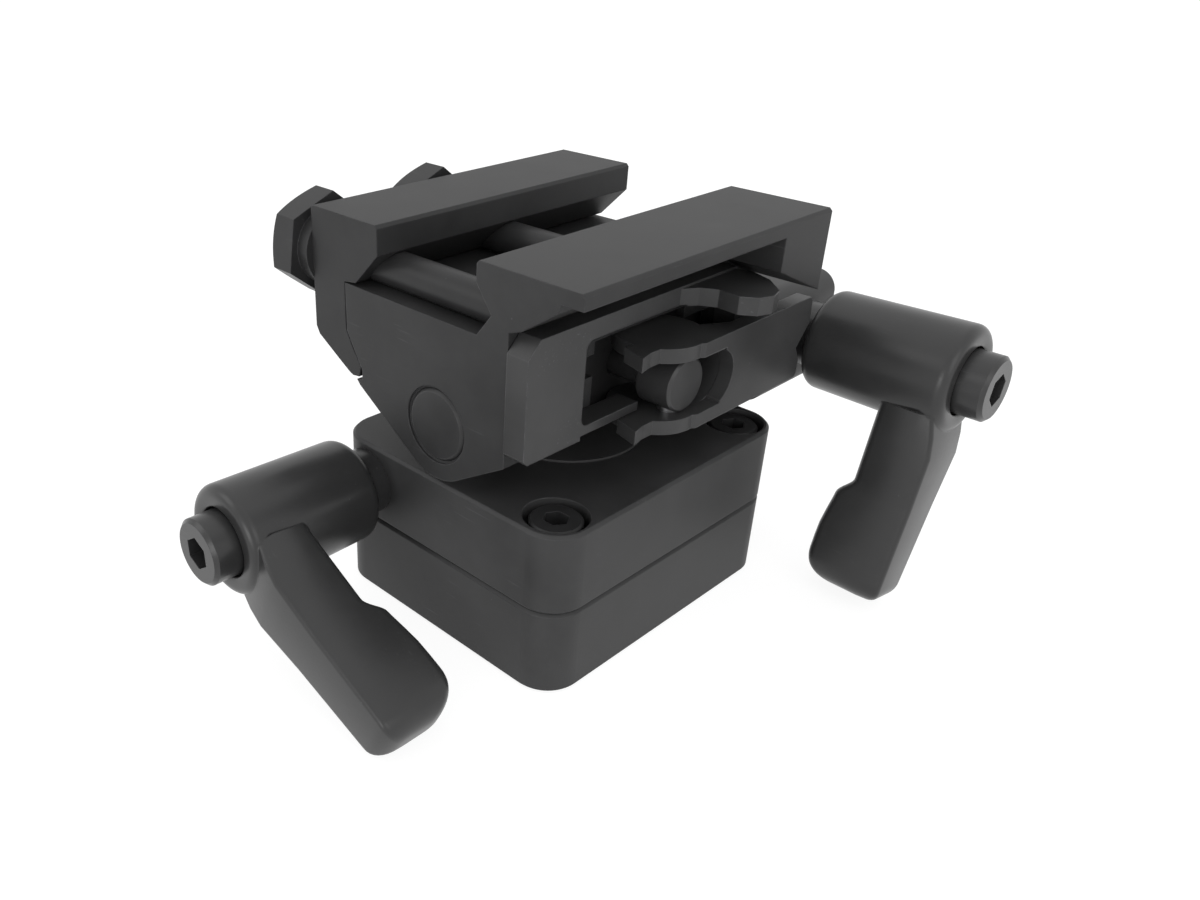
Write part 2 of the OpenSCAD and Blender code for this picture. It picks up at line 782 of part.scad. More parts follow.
module qd_lever() {
    color("#3d3e40")
        difference() {
            union() {
                tine(rod_z + tine_in);
                tine(rod_z - tine_out);
                along_x(qd_arm_x, qd_arm_t)
                    arm_outline();
            }
            rod_x(tine_in, qd_arm_x - overrun, qd_arm_t + 2 * overrun, crotch_y - tine_in, rod_z);
            box([qd_arm_x - overrun, qd_arm_x + qd_arm_t + overrun], [-crotch_y, crotch_y - tine_in],
                [rod_z - tine_in, rod_z + tine_in]);
            rod_up(pivot_r + run_gap, rod_z - tine_out - overrun, 2 * tine_out - pivot_cap + overrun, pivot_x, 0);
        }
}

module lever_pivot_pin() {
    color("#8c8f92")
        rod_up(pivot_r, rod_z - tine_out, 2 * tine_out - pivot_cap - run_gap, pivot_x, 0);
}

// Latch plate
module tee_stud(y, len) {
    box([stud_neck_x, latch_x + run_gap], [y, y + len], [stud_z - stud_neck_h / 2, stud_z + stud_neck_h / 2]);
    box([stud_head_x, stud_neck_x], [y, y + len], [stud_z - stud_head_h / 2, stud_z + stud_head_h / 2]);
}

module latch_plate() {
    color("#434447")
        difference() {
            union() {
                along_x(latch_x, latch_t)
                    polygon([[latch_front, latch_low + latch_edge], [latch_front + latch_edge, latch_low],
                        [latch_step_y, latch_low], [latch_step_y, latch_low + latch_step],
                        [latch_back, latch_low + latch_step], [latch_back, latch_low + latch_far_up + latch_step],
                        [latch_slope_y, latch_top - latch_slope_drop], [latch_slope_y, latch_top],
                        [latch_front + latch_near_cut, latch_top], [latch_front, latch_top - latch_near_cut]]);
                translate([0, 0, tongue_z])
                    linear_extrude(tongue_t)
                        polygon(concat([[latch_x, tongue_y], [latch_x + latch_t, tongue_y]],
                            [for (p = tongue_rim_shares)
                                [latch_x + latch_t + p[0] * tongue_reach, tongue_y + p[1] * tongue_len]],
                            [[latch_x, tongue_y + tongue_root_len]]));
                tee_stud(near_stud_y, near_stud_len);
                tee_stud(far_stud_y, far_stud_len);
            }
            window();
            box([latch_x - overrun, latch_x + latch_t + overrun],
                [-rod_head_r - side_gap, rod_head_r + side_gap + latch_travel],
                [latch_low - overrun, window_low + overrun]);
        }
}

module window() {
    x = [latch_x - overrun, latch_x + latch_t + overrun];
    box(x, [window_near_y, window_far_y], [window_low + window_r, window_top - window_r]);
    box(x, [window_near_y + window_r, window_far_y - window_r], [window_low, window_top]);
    for (y = [window_near_y + window_r, window_far_y - window_r],
        z = [window_low + window_r, window_top - window_r])
        rod_x(window_r, x[0], x[1] - x[0], y, z);
}

module latch_spring() {
    spring_y = clamp_front + slot_wall + run_gap;
    color("#b9bcc0")
        translate([(slot_head_x + slot_neck_x) / 2, spring_y, stud_z])
            rotate([-90, 0, 0])
                coil(latch_spring_r, latch_spring_wire, near_stud_y - run_gap - spring_y, latch_spring_turns);
}

// Clamping levers
module at_pan_lever(angle) {
    translate([pan_lever_x, pan_face_y - pan_standoff - hub_len, pan_lever_z])
        rotate([0, angle, 0])
            rotate([90, 0, 0])
                children();
}

module at_cant_lever(angle) {
    translate([lock_reach + cant_standoff + hub_len, cant_stud_y, cant_stud_z])
        rotate([-angle, 0, 0])
            rotate([0, 90, 0])
                children();
}

module balls(t, half_w, low, high) {
    for (y = [-1, 1], z = [low + arm_ball_r, high - arm_ball_r])
        translate([t, y * (half_w - arm_ball_r), z])
            sphere(r = arm_ball_r, $fn = 20);
}

module tooth_ring(root, tip, w, low, len) {
    tooth = [[root, -w / 2], [tip, -w / 2], [tip, w / 2], [root, w / 2]];
    translate([0, 0, low])
        linear_extrude(len)
            polygon([for (i = [0:tooth_count - 1], p = tooth)
                let (a = i * 360 / tooth_count) [p[0] * cos(a) - p[1] * sin(a), p[0] * sin(a) + p[1] * cos(a)]]);
}

module handle() {
    difference() {
        union() {
            rotate_extrude()
                polygon(concat([[0, -hub_len]],
                    arc(hub_inner_r - hub_edge, hub_edge - hub_len, hub_edge, -90, 0, hub_edge_steps),
                    arc(hub_r - hub_edge, -hub_edge, hub_edge, 0, 90, hub_edge_steps), [[0, 0]]));
            hull() {
                balls(arm_root_t, arm_root_half_w, arm_face(arm_root_t) - neck_depth, arm_face(arm_root_t));
                balls(arm_step_t, arm_step_half_w, arm_face(arm_step_t) - neck_depth, arm_face(arm_step_t));
            }
            hull() {
                balls(arm_step_t - arm_step_len, arm_step_half_w, arm_face(arm_step_t) - neck_depth,
                    arm_face(arm_step_t - arm_step_len));
                balls(arm_step_t + arm_ball_r, arm_step_half_w, arm_face(arm_step_t) - grip_depth,
                    arm_face(arm_step_t));
                balls(arm_reach - arm_ball_r, arm_tip_half_w, arm_face(arm_reach) - grip_depth,
                    arm_face(arm_reach));
            }
        }
        rod_up(hub_bore_r, -hub_len - overrun, hub_len + overrun + hub_bore_top, 0, 0);
        tooth_ring(tooth_root_r + tooth_gap, tooth_tip_r + tooth_gap, tooth_w + 2 * tooth_gap, hub_bore_top,
            web_low - hub_bore_top);
        rod_up(web_hole_r, hub_bore_top, -hub_bore_top, 0, 0);
        rod_up(head_bore_r, web_top, -web_top + arm_rise + overrun, 0, 0);
    }
}

module insert(standoff) {
    low = -hub_len - standoff;
    difference() {
        union() {
            rod_up(collar_r, low, collar_top - low, 0, 0);
            tooth_ring(tooth_root_r, tooth_tip_r, tooth_w, collar_top, tooth_top - collar_top);
            rod_up(stud_r, low - stud_len, stud_len + run_gap, 0, 0);
        }
        rod_up(lever_screw_r + run_gap, lever_screw_tip - side_gap, -lever_screw_tip, 0, 0);
    }
}

module lever_screw() {
    translate([0, 0, lever_screw_tip])
        cap_screw(lever_screw_r, lever_head_low - lever_screw_tip, lever_head_r, lever_head_top - lever_head_low,
            lever_head_edge, lever_socket_r, lever_socket_depth);
}

module lever_spring() {
    translate([0, 0, web_top + run_gap])
        coil(lever_spring_r, lever_spring_wire, lever_head_low - web_top - 2 * run_gap, lever_spring_turns);
}

module pan_handle() {
    color("#2b2c2e")
        at_pan_lever(pan_arm_angle)
            handle();
}

module pan_insert() {
    color("#4a4c4f")
        at_pan_lever(pan_arm_angle)
            insert(pan_standoff);
}

module pan_lever_screw() {
    color("#3f4144")
        at_pan_lever(pan_arm_angle)
            lever_screw();
}

module pan_lever_spring() {
    color("#b9bcc0")
        at_pan_lever(pan_arm_angle)
            lever_spring();
}

module pan_lock_shoe() {
    shoe_y = pan_face_y + stud_len + shoe_gap;
    color("#b08d4a")
        difference() {
            rod_y(shoe_r, shoe_y, pan_shoe_end_y - shoe_y, pan_lever_x, pan_lever_z);
            rod_up(drum_r + shaft_gap, plate_h, housing_h, 0, 0);
        }
}

module cant_handle() {
    color("#2b2c2e")
        at_cant_lever(cant_arm_angle)
            handle();
}

module cant_insert() {
    color("#4a4c4f")
        at_cant_lever(cant_arm_angle)
            insert(cant_standoff);
}

module cant_lever_screw() {
    color("#3f4144")
        at_cant_lever(cant_arm_angle)
            lever_screw();
}

module cant_lever_spring() {
    color("#b9bcc0")
        at_cant_lever(cant_arm_angle)
            lever_spring();
}

module cant_lock_shoe() {
    shoe_x = lock_reach - stud_len - shoe_gap;
    color("#b08d4a")
        difference() {
            rod_x(shoe_r, cant_shoe_end_x, shoe_x - cant_shoe_end_x, cant_stud_y, cant_stud_z);
            rod_y(pin_r + shaft_gap, lock_start, lock_len, 0, pin_z);
        }
}

base_plate();
base_housing();
housing_screws();
tripod_bush();
thrust_ring();
turret();
cant_pin();
pin_clip();
clamp_body();
clamp_bar();
cross_bolts();
hex_nuts();
draw_rod();
bar_spring();
qd_lever();
lever_pivot_pin();
latch_plate();
latch_spring();
pan_handle();
pan_insert();
pan_lever_screw();
pan_lever_spring();
pan_lock_shoe();
cant_handle();
cant_insert();
cant_lever_screw();
cant_lever_spring();
cant_lock_shoe();
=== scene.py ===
"""Looks of a gimbal tripod head: finishes for every machined piece, moulded lever handles and a plain studio."""

import json
import logging
import math
from abc import ABC, abstractmethod
from dataclasses import dataclass, field
from enum import Enum

import bmesh
import bpy
from mathutils import Matrix, Vector

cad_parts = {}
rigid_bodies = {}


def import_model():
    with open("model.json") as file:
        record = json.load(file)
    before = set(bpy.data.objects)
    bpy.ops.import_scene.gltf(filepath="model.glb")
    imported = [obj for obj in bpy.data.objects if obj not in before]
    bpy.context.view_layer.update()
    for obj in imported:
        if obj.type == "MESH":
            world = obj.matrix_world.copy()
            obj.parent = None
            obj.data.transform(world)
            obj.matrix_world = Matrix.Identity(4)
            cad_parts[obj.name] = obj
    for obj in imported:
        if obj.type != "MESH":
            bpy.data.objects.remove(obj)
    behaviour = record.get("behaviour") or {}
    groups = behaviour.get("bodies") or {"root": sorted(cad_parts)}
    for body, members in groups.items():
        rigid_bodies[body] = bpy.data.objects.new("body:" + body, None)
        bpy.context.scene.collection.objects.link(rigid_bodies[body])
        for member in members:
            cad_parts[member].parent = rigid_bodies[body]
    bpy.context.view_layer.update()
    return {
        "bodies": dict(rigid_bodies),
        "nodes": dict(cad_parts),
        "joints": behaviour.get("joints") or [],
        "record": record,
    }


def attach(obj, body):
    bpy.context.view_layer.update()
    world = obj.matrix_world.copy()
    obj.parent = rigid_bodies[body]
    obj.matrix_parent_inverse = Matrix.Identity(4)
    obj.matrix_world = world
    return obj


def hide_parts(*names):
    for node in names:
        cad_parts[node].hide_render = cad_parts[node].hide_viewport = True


LOG = logging.getLogger("tripod_head")
MM = 0.001
Colour = tuple[float, float, float]


class Slot(Enum):
    """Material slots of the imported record."""

    BASE = "base_black"
    TURRET = "turret_black"
    CLAMP = "clamp_black"
    QUICK = "quick_black"
    HANDLE = "handle_black"
    FASTENER = "fastener_black"
    BRIGHT = "bright_steel"
    SPRING = "spring_steel"
    BRASS = "brass"
    BEARING = "bearing_plastic"


class Grain(Enum):
    """What the surface was left like: the size of its grain in millimetres and how far it stands up."""

    BLASTED = (0.16, 0.012)
    MILLED = (0.22, 0.008)
    MOULDED = (0.6, 0.006)
    TURNED = (0.12, 0.004)

    @property
    def size(self) -> float:
        """Return the width of one grain, in metres."""
        return self.value[0] * MM

    @property
    def height(self) -> float:
        """Return how far a grain stands up, in metres."""
        return self.value[1] * MM


@dataclass(frozen=True)
class Finish:
    """One finish, as a maker would name it on a drawing."""

    name: str
    colour: Colour
    roughness: float
    grain: Grain
    slot: Slot
    metallic: float = 0.0
    specular: float = 0.5
    edge_colour: Colour = (0.11, 0.11, 0.115)
    edge_wear: float = 0.5
    scuffs: float = 0.3
    mottle: float = 0.15


ANODISED_BASE = Finish("black_anodised_base", (0.036, 0.036, 0.0365), 0.5, Grain.BLASTED, Slot.BASE, specular=0.28)
ANODISED_TURRET = Finish(
    "black_anodised_turret", (0.045, 0.045, 0.0455), 0.5, Grain.BLASTED, Slot.TURRET, specular=0.28
)
ANODISED_CLAMP = Finish("black_anodised_clamp", (0.031, 0.031, 0.0315), 0.5, Grain.BLASTED, Slot.CLAMP, specular=0.22)
ANODISED_BAR = Finish("black_anodised_bar", (0.029, 0.029, 0.0295), 0.5, Grain.BLASTED, Slot.CLAMP, specular=0.2)
OXIDE_LATCH = Finish(
    "black_oxide_latch", (0.036, 0.036, 0.0365), 0.42, Grain.MILLED, Slot.QUICK, specular=0.36, edge_wear=0.9,
    scuffs=0.6
)
OXIDE_LEVER = Finish(
    "black_oxide_lever", (0.038, 0.038, 0.0385), 0.4, Grain.MILLED, Slot.QUICK, specular=0.35, edge_wear=0.7,
    scuffs=0.5
)
OXIDE_TURNED = Finish(
    "black_oxide_turned", (0.024, 0.024, 0.0245), 0.4, Grain.TURNED, Slot.FASTENER, specular=0.25, edge_wear=0.5
)
OXIDE_ROD = Finish(
    "black_oxide_rod", (0.028, 0.028, 0.0285), 0.32, Grain.TURNED, Slot.FASTENER, specular=0.45, edge_wear=0.8,
    scuffs=0.4
)
OXIDE_PIN = Finish(
    "black_oxide_pin", (0.028, 0.028, 0.0285), 0.42, Grain.TURNED, Slot.FASTENER, specular=0.3, edge_wear=0.5
)
MOULDED_HANDLE = Finish(
    "moulded_black_handle", (0.027, 0.027, 0.0273), 0.31, Grain.MOULDED, Slot.HANDLE, specular=0.42,
    edge_colour=(0.07, 0.07, 0.071), edge_wear=0.12, scuffs=0.25, mottle=0.08
)
TURNED_STEEL = Finish(
    "turned_steel", (0.5, 0.5, 0.51), 0.3, Grain.TURNED, Slot.BRIGHT, metallic=1.0, edge_colour=(0.7, 0.7, 0.7)
)
SPRING_WIRE = Finish(
    "spring_wire", (0.45, 0.45, 0.46), 0.28, Grain.TURNED, Slot.SPRING, metallic=1.0, edge_colour=(0.6, 0.6, 0.6)
)
TURNED_BRASS = Finish(
    "turned_brass", (0.6, 0.43, 0.17), 0.32, Grain.TURNED, Slot.BRASS, metallic=1.0, edge_colour=(0.8, 0.62, 0.3)
)
BEARING_RING = Finish(
    "bearing_ring", (0.72, 0.69, 0.6), 0.5, Grain.MOULDED, Slot.BEARING, edge_colour=(0.78, 0.75, 0.68)
)


class Nodes:
    """Short ways to add and join shader nodes in one tree."""

    def __init__(self, tree: bpy.types.NodeTree) -> None:
        """Keep the tree that the nodes go in.

        Args:
            tree: A material's or a group's node tree, emptied first.
        """
        self.tree = tree
        self.tree.nodes.clear()
        self.column = 0

    def add(self, kind: str, values: dict[str | int, object] | None = None, **settings: object) -> bpy.types.Node:
        """Add a node.

        Args:
            kind: The node's type name, without its ShaderNode prefix.
            values: Input sockets to set, by name or index.
            settings: Attributes of the node itself.

        Returns:
            The new node.
        """
        node = self.tree.nodes.new(kind if kind.startswith("Node") else f"ShaderNode{kind}")
        self.column += 1
        node.location = (180 * self.column, 0)
        for name, value in settings.items():
            setattr(node, name, value)
        for key, value in (values or {}).items():
            node.inputs[key].default_value = value
        return node

    def join(self, start: bpy.types.NodeSocket, end: bpy.types.NodeSocket) -> None:
        """Link two sockets."""
        self.tree.links.new(start, end)

    def maths(
        self, operation: str, first: bpy.types.NodeSocket, second: bpy.types.NodeSocket | float, clamp: bool = False
    ) -> bpy.types.NodeSocket:
        """Add a Math node.

        Args:
            operation: What it works out.
            first: The first input.
            second: The second input, a socket or a plain number.
            clamp: Whether the result stays between 0 and 1.

        Returns:
            The node's output.
        """
        node = self.add("Math", operation=operation, use_clamp=clamp)
        self.join(first, node.inputs[0])
        if isinstance(second, bpy.types.NodeSocket):
            self.join(second, node.inputs[1])
        else:
            node.inputs[1].default_value = second
        return node.outputs[0]

    def ramp(self, value: bpy.types.NodeSocket, low: float, high: float) -> bpy.types.NodeSocket:
        """Spread a value from low and high to 0 and 1, held at both ends.

        Args:
            value: What is spread.
            low: The value that becomes 0.
            high: The value that becomes 1.

        Returns:
            The spread value.
        """
        node = self.add("MapRange", {"From Min": low, "From Max": high}, interpolation_type="SMOOTHSTEP")
        self.join(value, node.inputs["Value"])
        return node.outputs["Result"]

    def noise(self, size: float, detail: float = 2.0, rough: float = 0.5) -> bpy.types.NodeSocket:
        """Add noise on Object coordinates.

        Args:
            size: The width of one blot, in metres.
            detail: How many finer layers it has.
            rough: How strong those layers are.

        Returns:
            A value that changes over the surface.
        """
        place = self.add("TexCoord")
        node = self.add("TexNoise", {"Scale": 1 / size, "Detail": detail, "Roughness": rough})
        self.join(place.outputs["Object"], node.inputs["Vector"])
        return node.outputs["Fac"]


class GroupMaker:
    """Builds the shader node groups that the finishes share. Sizes are in millimetres, bends and masks in shares."""

    EDGE_BEND: tuple[float, float] = (0.02, 0.2)
    WEAR_SIZE = 2.4
    WEAR_PATCH: tuple[float, float] = (0.38, 0.66)
    WEAR_LEAST = 0.25
    TONE_SIZE = 9
    SPECK_CELL = 1.5
    SPECK_DOT: tuple[float, float] = (0.09, 0.045)
    SPECK_PATCH_SIZE = 3.1
    SPECK_PATCH: tuple[float, float] = (0.6, 0.7)
    SCRATCHES: tuple[tuple[float, float], ...] = ((0.5, 26.0), (-0.9, 18.0))
    SCRATCH_SCALE = 140.0
    SCRATCH_LINE: tuple[float, float] = (0.66, 0.74)
    SCRATCH_PATCH_SIZE = 7
    SCRATCH_PATCH: tuple[float, float] = (0.5, 0.7)

    def __init__(self) -> None:
        """Build every group once."""
        self.edge = self._edge()
        self.grain = self._grain()
        self.scuff = self._scuff()

    @staticmethod
    def _group(
        name: str, inputs: dict[str, tuple[str, float]], outputs: dict[str, str]
    ) -> tuple[bpy.types.NodeTree, Nodes, bpy.types.Node, bpy.types.Node]:
        """Start a group.

        Args:
            name: The group's name.
            inputs: Each input's socket type and first value.
            outputs: Each output's socket type.

        Returns:
            The group's tree, its nodes, and its input and output nodes.
        """
        tree = bpy.data.node_groups.new(name, "ShaderNodeTree")
        nodes = Nodes(tree)
        for label, (kind, value) in inputs.items():
            socket = tree.interface.new_socket(label, in_out="INPUT", socket_type=f"NodeSocket{kind}")
            socket.default_value = value
        for label, kind in outputs.items():
            tree.interface.new_socket(label, in_out="OUTPUT", socket_type=f"NodeSocket{kind}")
        return tree, nodes, nodes.add("NodeGroupInput"), nodes.add("NodeGroupOutput")

    def _edge(self) -> bpy.types.NodeTree:
        """Return the group that finds edges, rounds them and says where they are worn."""
        tree, nodes, start, end = self._group(
            "edge_wear", {"Radius": ("Float", 0.0003), "Amount": ("Float", 0.5)}, {"Mask": "Float", "Normal": "Vector"}
        )
        bevel = nodes.add("Bevel", samples=6)
        nodes.join(start.outputs["Radius"], bevel.inputs["Radius"])
        flat = nodes.add("NewGeometry")
        dot = nodes.add("VectorMath", operation="DOT_PRODUCT")
        nodes.join(bevel.outputs["Normal"], dot.inputs[0])
        nodes.join(flat.outputs["Normal"], dot.inputs[1])
        bend = nodes.maths("SUBTRACT", dot.outputs["Value"], 1.0)
        edge = nodes.ramp(nodes.maths("MULTIPLY", bend, -1.0), *self.EDGE_BEND)
        patch = nodes.ramp(nodes.noise(self.WEAR_SIZE * MM, 4.0, 0.6), *self.WEAR_PATCH)
        part = nodes.maths("ADD", nodes.maths("MULTIPLY", patch, 1.0 - self.WEAR_LEAST), self.WEAR_LEAST)
        worn = nodes.maths("MULTIPLY", edge, part)
        nodes.join(nodes.maths("MULTIPLY", worn, start.outputs["Amount"], True), end.inputs["Mask"])
        nodes.join(bevel.outputs["Normal"], end.inputs["Normal"])
        return tree

    def _grain(self) -> bpy.types.NodeTree:
        """Return the group that makes a fine grain and a slow change of tone."""
        tree, nodes, start, end = self._group(
            "fine_grain", {"Size": ("Float", 0.0002)}, {"Height": "Float", "Tone": "Float", "Speck": "Float"}
        )
        place = nodes.add("TexCoord")
        scale = nodes.add("VectorMath", operation="SCALE")
        nodes.join(place.outputs["Object"], scale.inputs[0])
        per_grain = nodes.add("Math", {0: 1.0}, operation="DIVIDE")
        nodes.join(start.outputs["Size"], per_grain.inputs[1])
        nodes.join(per_grain.outputs[0], scale.inputs["Scale"])
        fine = nodes.add("TexNoise", {"Scale": 1.0, "Detail": 3.0, "Roughness": 0.6})
        nodes.join(scale.outputs[0], fine.inputs["Vector"])
        nodes.join(fine.outputs["Fac"], end.inputs["Height"])
        nodes.join(nodes.noise(self.TONE_SIZE * MM, 5.0, 0.55), end.inputs["Tone"])
        specks = nodes.add("TexVoronoi", {"Scale": 1 / (self.SPECK_CELL * MM), "Randomness": 1.0})
        nodes.join(place.outputs["Object"], specks.inputs["Vector"])
        dot = nodes.ramp(specks.outputs["Distance"], *self.SPECK_DOT)
        here = nodes.ramp(nodes.noise(self.SPECK_PATCH_SIZE * MM), *self.SPECK_PATCH)
        nodes.join(nodes.maths("MULTIPLY", dot, here), end.inputs["Speck"])
        return tree

    def _scuff(self) -> bpy.types.NodeTree:
        """Return the group that draws fine handling scratches in two directions."""
        tree, nodes, start, end = self._group("handling_scuffs", {"Amount": ("Float", 0.3)}, {"Mask": "Float"})
        place = nodes.add("TexCoord")
        masks = []
        for turn, stretch in self.SCRATCHES:
            mapping = nodes.add("Mapping", {"Rotation": (turn, turn, turn), "Scale": (1.0, stretch, stretch)})
            nodes.join(place.outputs["Object"], mapping.inputs["Vector"])
            lines = nodes.add("TexNoise", {"Scale": self.SCRATCH_SCALE, "Detail": 2.0, "Roughness": 0.5})
            nodes.join(mapping.outputs["Vector"], lines.inputs["Vector"])
            masks.append(nodes.ramp(lines.outputs["Fac"], *self.SCRATCH_LINE))
        both = nodes.maths("MAXIMUM", masks[0], masks[1])
        patch = nodes.ramp(nodes.noise(self.SCRATCH_PATCH_SIZE * MM, 2.0), *self.SCRATCH_PATCH)
        here = nodes.maths("MULTIPLY", both, patch)
        nodes.join(nodes.maths("MULTIPLY", here, start.outputs["Amount"], True), end.inputs["Mask"])
        return tree


class MaterialMaker:
    """Turns finishes into materials, each built once."""

    TONE_SPREAD: tuple[float, float] = (0.3, 0.7)
    SPECK_SHARE = 0.5
    BLOTCH_ROUGHNESS = 0.16
    WORN_SMOOTHER = 0.1
    SCUFF_ROUGHER = 0.12

    def __init__(self) -> None:
        """Build the shared groups."""
        self.groups = GroupMaker()
        self.made: dict[str, bpy.types.Material] = {}

    def material(self, finish: Finish, edge_break: float) -> bpy.types.Material:
        """Return the finish's material, building it the first time.

        Args:
            finish: The finish.
            edge_break: How far the edges are broken, in millimetres.

        Returns:
            A procedural material.
        """
        key = f"{finish.name}_{round(edge_break * 100)}"
        if key not in self.made:
            self.made[key] = self._build(finish, key, edge_break)
        return self.made[key]

    def _build(self, finish: Finish, name: str, edge_break: float) -> bpy.types.Material:
        """Build one material.

        Args:
            finish: The finish.
            name: The material's name.
            edge_break: How far the edges are broken, in millimetres.

        Returns:
            The new material.
        """
        material = bpy.data.materials.new(name)
        material.use_nodes = True
        nodes = Nodes(material.node_tree)
        edge = self._place(nodes, self.groups.edge, {"Radius": edge_break * MM, "Amount": finish.edge_wear})
        grain = self._place(nodes, self.groups.grain, {"Size": finish.grain.size})
        scuff = self._place(nodes, self.groups.scuff, {"Amount": finish.scuffs})
        colour = self._tones(nodes, finish, edge, grain, scuff)
        shader = nodes.add(
            "BsdfPrincipled",
            {"Metallic": finish.metallic, "Specular IOR Level": finish.specular},
        )
        nodes.join(colour, shader.inputs["Base Color"])
        nodes.join(self._roughness(nodes, finish, edge, grain, scuff), shader.inputs["Roughness"])
        bump = nodes.add("Bump", {"Strength": 1.0, "Distance": finish.grain.height})
        nodes.join(grain.outputs["Height"], bump.inputs["Height"])
        nodes.join(edge.outputs["Normal"], bump.inputs["Normal"])
        nodes.join(bump.outputs["Normal"], shader.inputs["Normal"])
        output = nodes.add("OutputMaterial")
        nodes.join(shader.outputs["BSDF"], output.inputs["Surface"])
        return material

    @staticmethod
    def _place(nodes: Nodes, group: bpy.types.NodeTree, values: dict[str, float]) -> bpy.types.Node:
        """Add a group node with its own values.

        Args:
            nodes: The material's nodes.
            group: The shared group.
            values: The group's inputs.

        Returns:
            The group node.
        """
        node = nodes.add("Group", node_tree=group)
        for name, value in values.items():
            node.inputs[name].default_value = value
        return node

    def _tones(
        self, nodes: Nodes, finish: Finish, edge: bpy.types.Node, grain: bpy.types.Node, scuff: bpy.types.Node
    ) -> bpy.types.NodeSocket:
        """Mix the finish's colour with its mottle, specks, scuffs and worn edges.

        Args:
            nodes: The material's nodes.
            finish: The finish.
            edge: The edge group.
            grain: The grain group.
            scuff: The scuff group.

        Returns:
            The colour.
        """
        light = tuple(c * (1 + finish.mottle) for c in finish.colour)
        dark = tuple(c * (1 - finish.mottle) for c in finish.colour)
        layers = (
            (nodes.ramp(grain.outputs["Tone"], *self.TONE_SPREAD), light),
            (nodes.maths("MULTIPLY", grain.outputs["Speck"], self.SPECK_SHARE), finish.edge_colour),
            (scuff.outputs["Mask"], finish.edge_colour),
            (edge.outputs["Mask"], finish.edge_colour),
        )
        below = None
        for mask, top in layers:
            mix = nodes.add("Mix", data_type="RGBA")
            nodes.join(mask, mix.inputs[0])
            mix.inputs[6].default_value = (*dark, 1.0)
            mix.inputs[7].default_value = (*top, 1.0)
            if below is not None:
                nodes.join(below, mix.inputs[6])
            below = mix.outputs[2]
        return below

    def _roughness(
        self, nodes: Nodes, finish: Finish, edge: bpy.types.Node, grain: bpy.types.Node, scuff: bpy.types.Node
    ) -> bpy.types.NodeSocket:
        """Vary the roughness: blotchy, smoother on worn edges, rougher in scuffs.

        Args:
            nodes: The material's nodes.
            finish: The finish.
            edge: The edge group.
            grain: The grain group.
            scuff: The scuff group.

        Returns:
            The roughness.
        """
        blotch = nodes.maths("MULTIPLY", nodes.maths("SUBTRACT", grain.outputs["Tone"], 0.5), self.BLOTCH_ROUGHNESS)
        value = nodes.maths("ADD", blotch, finish.roughness)
        value = nodes.maths("SUBTRACT", value, nodes.maths("MULTIPLY", edge.outputs["Mask"], self.WORN_SMOOTHER))
        rougher = nodes.maths("MULTIPLY", scuff.outputs["Mask"], self.SCUFF_ROUGHER)
        return nodes.maths("ADD", value, rougher, True)


@dataclass
class SubAssembly(ABC):
    """One sub-assembly, which gathers or builds its pieces and then dresses them. Sizes are in millimetres."""

    title: str
    edge_break: float = 0.25
    fine_edge: float = 0.12
    pieces: dict[str, bpy.types.Object] = field(default_factory=dict, init=False)

    @abstractmethod
    def build(self, frame: dict) -> None:
        """Gather the CAD's pieces and build the others.
        """

    @abstractmethod
    def dress(self, maker: MaterialMaker) -> None:
        """Give every piece its finish.

        Args:
            maker: The maker of materials.
        """

    def gather(self, frame: dict, *nodes: str) -> None:
        """Take CAD nodes into the sub-assembly.

        Args:
            nodes: The nodes' names.
        """
        for node in nodes:
            self.pieces[node] = frame["nodes"][node]
            LOG.info("%s: %s gathered", self.title, node)

    def coat(self, maker: MaterialMaker, finish: Finish, edge: float, *names: str) -> None:
        """Coat some pieces with a finish.

        Args:
            maker: The maker of materials.
            finish: The finish.
            edge: How far the pieces' edges are broken.
            names: The pieces' names.
        """
        for name in names:
            piece = self.pieces[name]
            piece.data.materials.clear()
            piece.data.materials.append(maker.material(finish, edge))
            LOG.info("%s: %s in %s", self.title, name, finish.name)


@dataclass
class Base(SubAssembly):
    """The two layers of the base with their screws, the tripod bush and the ring under the drum."""

    title: str = "base"
    edge_break: float = 0.3

    def build(self, frame: dict) -> None:
        """Gather the two layers and what they hold."""
        self.gather(frame, "base_plate", "base_housing", "housing_screws", "tripod_bush", "thrust_ring")

    def dress(self, maker: MaterialMaker) -> None:
        """Anodise the layers and blacken the screws; the bush stays bright."""
        self.coat(maker, ANODISED_BASE, self.edge_break, "base_plate", "base_housing")
        self.coat(maker, OXIDE_TURNED, self.fine_edge, "housing_screws")
        self.coat(maker, TURNED_STEEL, self.fine_edge, "tripod_bush")
        self.coat(maker, BEARING_RING, self.fine_edge, "thrust_ring")


@dataclass
class Turret(SubAssembly):
    """The turning drum with its knuckles, the cant pin and the pin's clip."""

    title: str = "turret"

    def build(self, frame: dict) -> None:
        """Gather the turret, the pin and the clip."""
        self.gather(frame, "turret", "cant_pin", "pin_clip")

    def dress(self, maker: MaterialMaker) -> None:
        """Anodise the turret and blacken the pin and the clip."""
        self.coat(maker, ANODISED_TURRET, self.edge_break, "turret")
        self.coat(maker, OXIDE_PIN, self.edge_break, "cant_pin")
        self.coat(maker, OXIDE_TURNED, self.fine_edge, "pin_clip")


